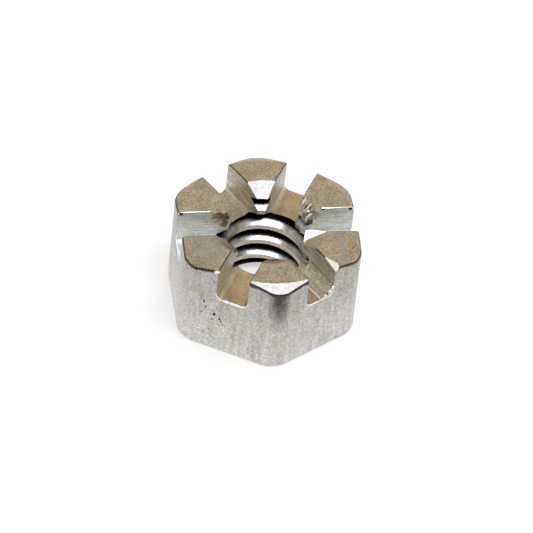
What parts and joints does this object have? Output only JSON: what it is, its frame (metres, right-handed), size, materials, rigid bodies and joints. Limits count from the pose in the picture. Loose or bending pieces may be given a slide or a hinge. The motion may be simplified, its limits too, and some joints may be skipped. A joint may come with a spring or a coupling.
{
  "type": "castle nut",
  "caption": "Slotted hexagon castle nut with a coarse right-hand thread, chamfered ends and radiused cotter pin slots through its flats.",
  "frame": {"origin": "centre of the bearing face, on the thread axis", "axes": "+Z along the thread axis, from the bearing face towards the slotted crown; one pair of flats faces +X and -X, with a slot along X through both"},
  "size_m": [0.0112, 0.0124, 0.0066],
  "materials": {
    "stainless_steel": "satin machined stainless steel with a fine mottled grain, small pits and bright burrs on the slots' edges"
  },
  "bodies": {
    "root": {"castle_nut": "stainless_steel"}
  },
  "joints": []
}
